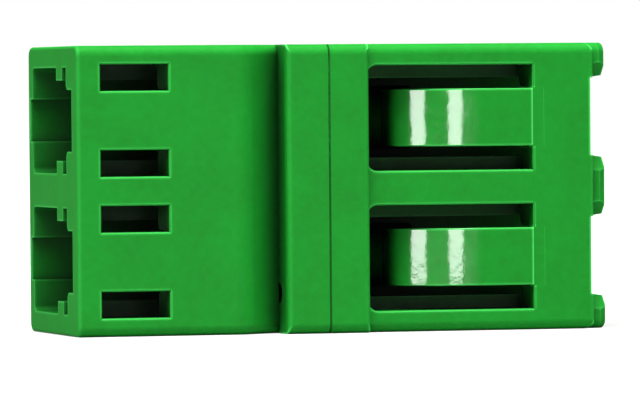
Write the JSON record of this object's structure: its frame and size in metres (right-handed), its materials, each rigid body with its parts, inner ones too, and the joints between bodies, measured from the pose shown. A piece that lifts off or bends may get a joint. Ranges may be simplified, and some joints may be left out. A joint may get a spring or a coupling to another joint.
{
  "type": "fibre optic adapter",
  "caption": "Green duplex fibre optic adapter with a panel collar, rear lug windows, long front windows with sprung tongues and hidden ceramic alignment sleeves.",
  "frame": {"origin": "middle of the footprint, on the narrow side that the adapter stands on", "axes": "+X along the mating axis, from the rear mouth to the front mouth; +Y from the latch side to the floor side; +Z from the lower port to the upper port"},
  "size_m": [0.0246, 0.0104, 0.0129],
  "materials": {
    "housing_plastic": "moulded green thermoplastic, fine satin texture",
    "tongue_plastic": "the same green thermoplastic, polished",
    "sleeve_ceramic": "ground white zirconia ceramic"
  },
  "bodies": {
    "housing": {"housing_rear": "housing_plastic", "housing_front": "housing_plastic", "alignment_sleeve_upper": "sleeve_ceramic", "alignment_sleeve_lower": "sleeve_ceramic"},
    "upper_tongue": {"spring_tongue_upper": "tongue_plastic"},
    "lower_tongue": {"spring_tongue_lower": "tongue_plastic"}
  },
  "joints": [
    {"name": "upper_tongue_flex", "type": "hinge", "parent": "housing", "child": "upper_tongue", "pos_m": [0.00894, -0.0044, 0.00956], "axis": [0, 0, 1], "range_deg": [0, 12], "stiffness_Nm_per_rad": 0.03},
    {"name": "lower_tongue_flex", "type": "hinge", "parent": "housing", "child": "lower_tongue", "pos_m": [0.00894, -0.0044, 0.00331], "axis": [0, 0, 1], "range_deg": [0, 12], "stiffness_Nm_per_rad": 0.03}
  ]
}
